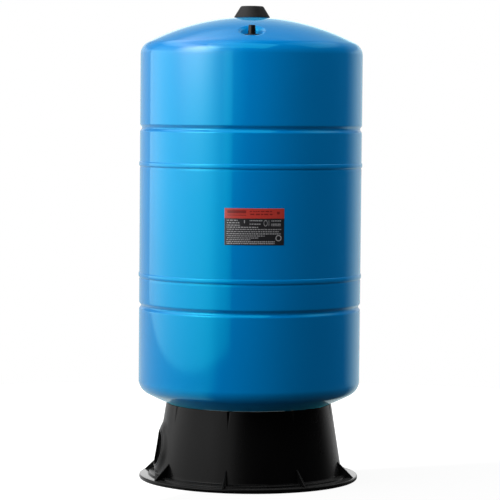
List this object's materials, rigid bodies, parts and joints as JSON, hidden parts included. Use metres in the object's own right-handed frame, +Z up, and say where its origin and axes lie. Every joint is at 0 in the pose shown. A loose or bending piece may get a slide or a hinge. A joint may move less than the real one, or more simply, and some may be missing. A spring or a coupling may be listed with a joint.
{
  "type": "well pressure tank",
  "caption": "Upright steel pressure tank for a well pump, with dished ends, a sprung air valve under a cap, an inner bladder and a conical moulded stand.",
  "frame": {"origin": "on the floor, under the centre of the stand", "axes": "+Z up along the tank's axis, -Y out of the front, where the air valve and the label place are"},
  "size_m": [0.3922, 0.3922, 0.8317],
  "materials": {
    "tank_paint": "glossy blue enamel under a clear coat",
    "stand_plastic": "black moulded plastic, satin to gloss",
    "cap_plastic": "black plastic, fine matt grain",
    "black_rubber": "black rubber",
    "bladder_rubber": "moulded butyl rubber, dull",
    "zinc_steel": "zinc plated steel",
    "brass": "turned brass"
  },
  "bodies": {
    "tank": {"upper_head": "tank_paint", "shell_band": "tank_paint", "lower_head": "tank_paint", "neck_flange": "tank_paint", "stand": "stand_plastic", "valve_grommet": "black_rubber", "top_seal": "black_rubber", "bladder": "bladder_rubber", "counter_flange": "zinc_steel", "water_nipple": "zinc_steel", "bladder_stud": "zinc_steel", "top_washer": "zinc_steel", "top_nut": "zinc_steel", "valve_spring": "zinc_steel", "valve_stem": "brass", "valve_core_barrel": "brass", "flange_bolt_1": "zinc_steel", "flange_bolt_2": "zinc_steel", "flange_bolt_3": "zinc_steel", "flange_bolt_4": "zinc_steel", "flange_bolt_5": "zinc_steel", "flange_bolt_6": "zinc_steel"},
    "centre_cap": {"top_cap": "cap_plastic"},
    "dust_cap": {"valve_cap": "cap_plastic", "valve_cap_seal": "black_rubber"},
    "valve_pin": {"valve_pin": "brass"}
  },
  "joints": [
    {"name": "centre_cap_lift", "type": "slide", "parent": "tank", "child": "centre_cap", "axis": [0, 0, 1], "range_m": [0, 0.04]},
    {"name": "dust_cap_lift", "type": "slide", "parent": "tank", "child": "dust_cap", "axis": [0, 0, 1], "range_m": [0, 0.03]},
    {"name": "valve_pin_press", "type": "slide", "parent": "tank", "child": "valve_pin", "axis": [0, 0, -1], "range_m": [0, 0.001], "stiffness_N_per_m": 1500, "springref_m": -0.001, "deforming": ["valve_spring"]}
  ]
}
